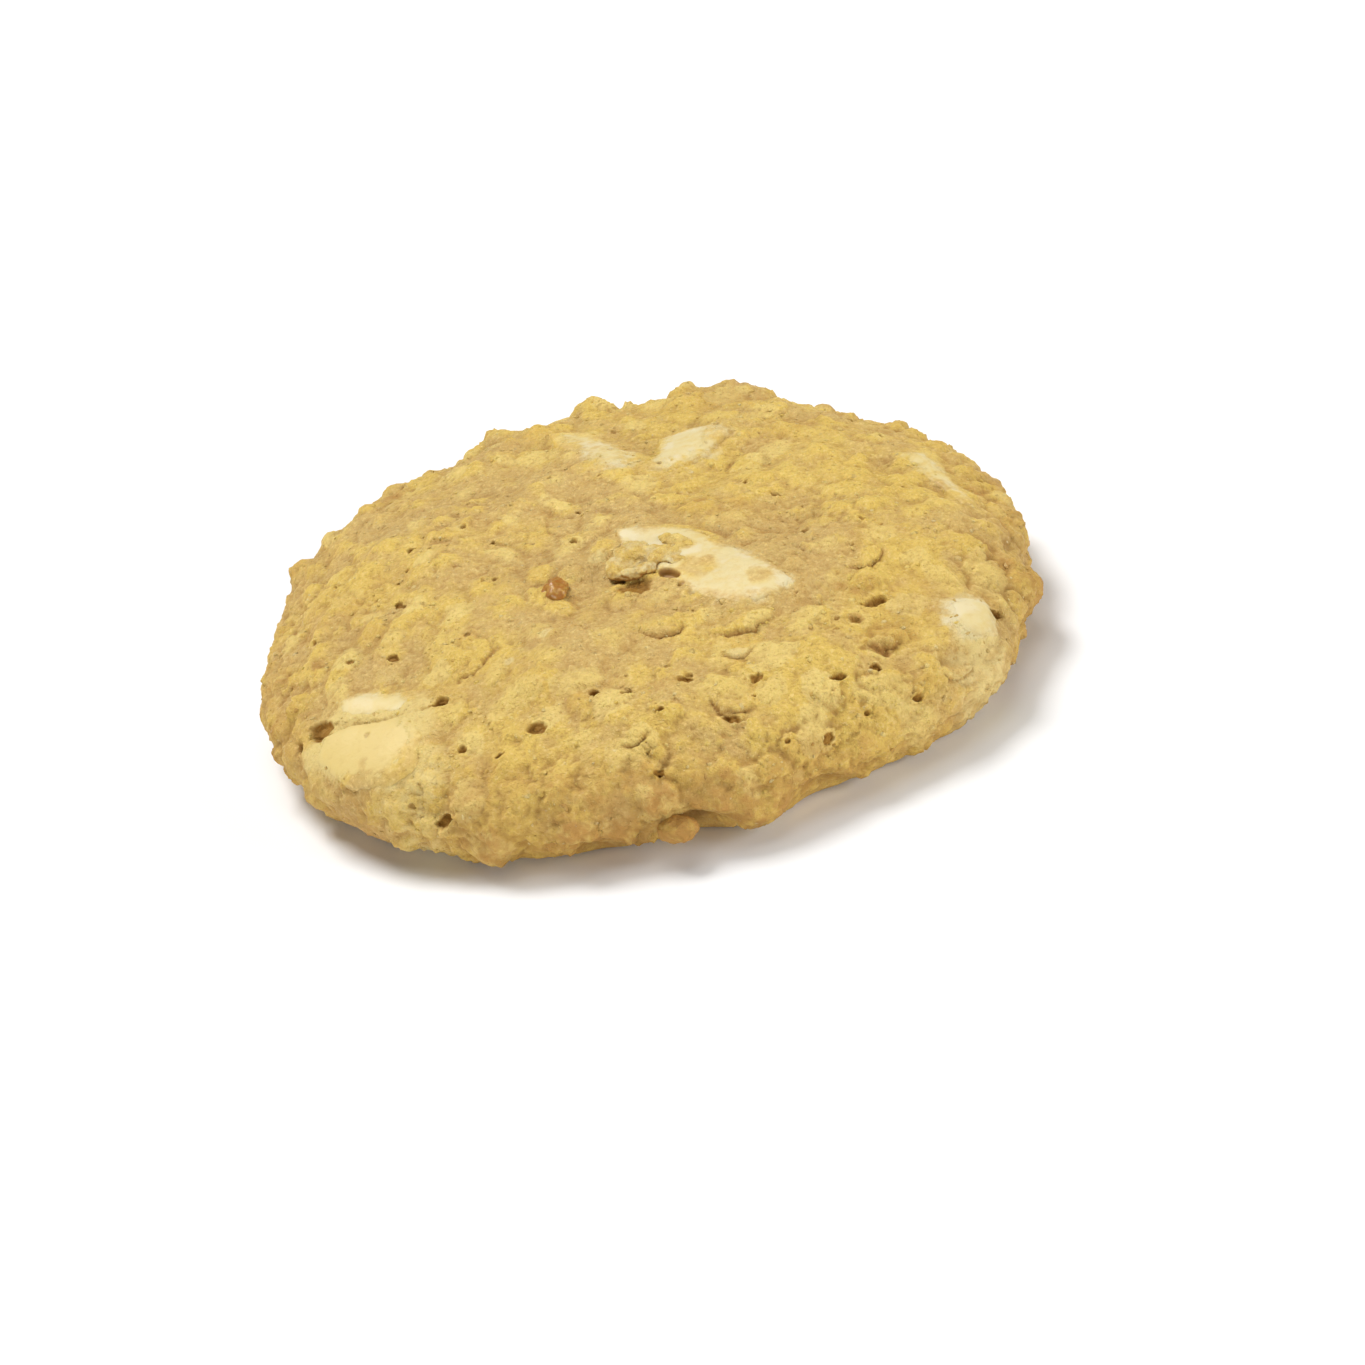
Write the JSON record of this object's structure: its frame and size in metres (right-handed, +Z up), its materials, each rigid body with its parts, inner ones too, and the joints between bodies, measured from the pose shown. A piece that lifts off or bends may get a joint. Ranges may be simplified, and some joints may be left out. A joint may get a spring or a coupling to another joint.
{
  "type": "white chocolate vanilla cookie",
  "caption": "Round, low oat cookie with a craggy golden crust, a flat underside and pale chunks of white chocolate set in its top; food to lie on a plate, tray or table.",
  "frame": {"origin": "on the table, under the middle of the cookie's outline", "axes": "+Z up through the thickness, baked top up; -Y towards the side nearest the viewer; +X to the viewer's right"},
  "size_m": [0.0801, 0.0802, 0.017],
  "materials": {
    "dough": "dry baked crust, matte, golden",
    "white_chocolate": "baked white chocolate, soft sheen, cream"
  },
  "bodies": {
    "root": {"dough": "dough", "chunk_centre": "white_chocolate", "chunk_front_left": "white_chocolate", "chunk_front_left_small": "white_chocolate", "chunk_right": "white_chocolate", "chunk_back_left": "white_chocolate", "chunk_back": "white_chocolate", "chunk_back_right": "white_chocolate"}
  },
  "joints": []
}
